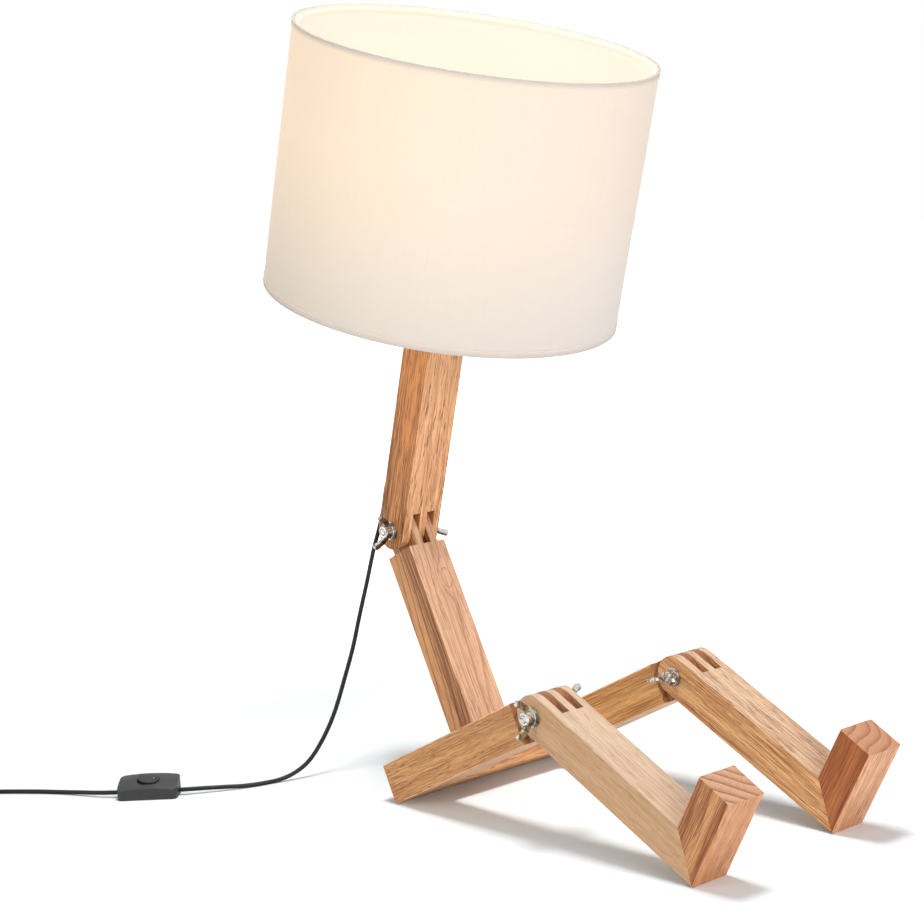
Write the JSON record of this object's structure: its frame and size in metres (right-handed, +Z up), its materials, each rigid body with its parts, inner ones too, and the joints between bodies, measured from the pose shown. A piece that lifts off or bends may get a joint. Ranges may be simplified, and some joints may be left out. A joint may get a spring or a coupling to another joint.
{
  "type": "articulated desk lamp",
  "caption": "Desk lamp of planed wooden bars shaped as a seated figure, with comb joints clamped by wing nuts at the knees and waist, a drum shade for a head and a switched cord",
  "frame": {"origin": "on the table, under the middle of the lamp's overall box without its cord, in the lamp's mirror plane", "axes": "+X forward, from the hips towards the feet; +Y across the lamp to its left; +Z up from the table"},
  "size_m": [0.5774, 0.4662, 0.5317],
  "materials": {
    "bar_wood": "planed, oiled softwood bars with fine grain",
    "dowel_wood": "turned beech dowels",
    "bright_hardware": "bright nickel plating",
    "washer_steel": "zinc plated",
    "plated_steel": "yellow zinc plating",
    "holder_plastic": "moulded, off-white",
    "terminal_ceramic": "glazed insulator",
    "liner_brass": "bare pressed sheet",
    "white_wire": "white powder coat",
    "shade_cloth": "cream cloth laminated on stiff film, translucent",
    "rim_tape": "matte tape, light grey",
    "cap_alloy": "thin pressed metal",
    "bulb_glass": "frosted, warm white",
    "black_rubber": "soft black, semi-matte",
    "tie_plastic": "black coated wire",
    "switch_plastic": "moulded, dark grey",
    "rocker_plastic": "moulded, dark grey, satin",
    "small_screw": "plain steel",
    "plug_plastic": "moulded, black",
    "pin_metal": "nickel plated"
  },
  "bodies": {
    "hip_frame": {"hip_crossbar": "bar_wood", "right_thigh": "bar_wood", "left_thigh": "bar_wood", "lower_torso": "bar_wood", "hip_dowels": "dowel_wood", "torso_dowels": "dowel_wood", "cord_drop": "black_rubber", "cord_to_switch": "black_rubber", "cord_to_coil": "black_rubber", "cord_coil": "black_rubber", "coil_tie": "tie_plastic", "cord_to_plug": "black_rubber", "switch_base": "switch_plastic", "switch_cover": "switch_plastic", "switch_screws": "small_screw", "plug_body": "plug_plastic", "plug_pins": "pin_metal"},
    "upper_body": {"upper_torso": "bar_wood", "waist_washers": "washer_steel", "cord_grommet": "black_rubber", "torso_cord": "black_rubber", "holder_nipple": "plated_steel", "nipple_nut": "plated_steel", "holder_cap": "holder_plastic", "holder_sleeve": "holder_plastic", "terminal_block": "terminal_ceramic", "socket_liner": "liner_brass", "shade_clamp_ring": "holder_plastic", "shade_spider": "white_wire", "shade_low_wire": "white_wire", "shade_top_wire": "white_wire", "shade_skin": "shade_cloth", "shade_rim_tapes": "rim_tape", "bulb_cap": "cap_alloy", "bulb_globe": "bulb_glass"},
    "right_lower_leg": {"right_shin": "bar_wood", "right_foot": "bar_wood", "right_foot_dowels": "dowel_wood", "right_knee_washers": "washer_steel"},
    "left_lower_leg": {"left_shin": "bar_wood", "left_foot": "bar_wood", "left_foot_dowels": "dowel_wood", "left_knee_washers": "washer_steel"},
    "right_knee_nut": {"right_knee_wing_nut": "bright_hardware"},
    "left_knee_nut": {"left_knee_wing_nut": "bright_hardware"},
    "waist_nut": {"waist_wing_nut": "bright_hardware"},
    "right_knee_bolt": {"right_knee_screw": "bright_hardware"},
    "left_knee_bolt": {"left_knee_screw": "bright_hardware"},
    "waist_bolt": {"waist_screw": "bright_hardware"},
    "rocker": {"switch_rocker": "rocker_plastic"}
  },
  "joints": [
    {"name": "waist_tilt", "type": "hinge", "parent": "hip_frame", "child": "upper_body", "pos_m": [-0.14737, 0, 0.16959], "axis": [0, 1, 0], "range_deg": [-43, 40], "deforming": ["cord_drop"]},
    {"name": "right_knee", "type": "hinge", "parent": "hip_frame", "child": "right_lower_leg", "pos_m": [0.05495, -0.063, 0.08107], "axis": [0, 1, 0], "range_deg": [-53, 45]},
    {"name": "left_knee", "type": "hinge", "parent": "hip_frame", "child": "left_lower_leg", "pos_m": [0.05495, 0.063, 0.08107], "axis": [0, 1, 0], "range_deg": [-53, 45]},
    {"name": "right_knee_nut_turn", "type": "hinge", "parent": "right_lower_leg", "child": "right_knee_nut", "pos_m": [0.05495, -0.082, 0.08107], "axis": [0, 1, 0], "continuous": true},
    {"name": "left_knee_nut_turn", "type": "hinge", "parent": "left_lower_leg", "child": "left_knee_nut", "pos_m": [0.05495, 0.044, 0.08107], "axis": [0, 1, 0], "continuous": true},
    {"name": "waist_nut_turn", "type": "hinge", "parent": "upper_body", "child": "waist_nut", "pos_m": [-0.14737, -0.02, 0.16959], "axis": [0, 1, 0], "continuous": true},
    {"name": "right_knee_bolt_turn", "type": "hinge", "parent": "right_lower_leg", "child": "right_knee_bolt", "pos_m": [0.05495, -0.044, 0.08107], "axis": [0, 1, 0], "continuous": true},
    {"name": "left_knee_bolt_turn", "type": "hinge", "parent": "left_lower_leg", "child": "left_knee_bolt", "pos_m": [0.05495, 0.082, 0.08107], "axis": [0, 1, 0], "continuous": true},
    {"name": "waist_bolt_turn", "type": "hinge", "parent": "upper_body", "child": "waist_bolt", "pos_m": [-0.14737, 0.02, 0.16959], "axis": [0, 1, 0], "continuous": true},
    {"name": "switch_rock", "type": "hinge", "parent": "hip_frame", "child": "rocker", "pos_m": [-0.2367, -0.1724, 0.0091], "axis": [-0.6915, 0.6776, 0.2504], "range_deg": [-14, 0]}
  ]
}
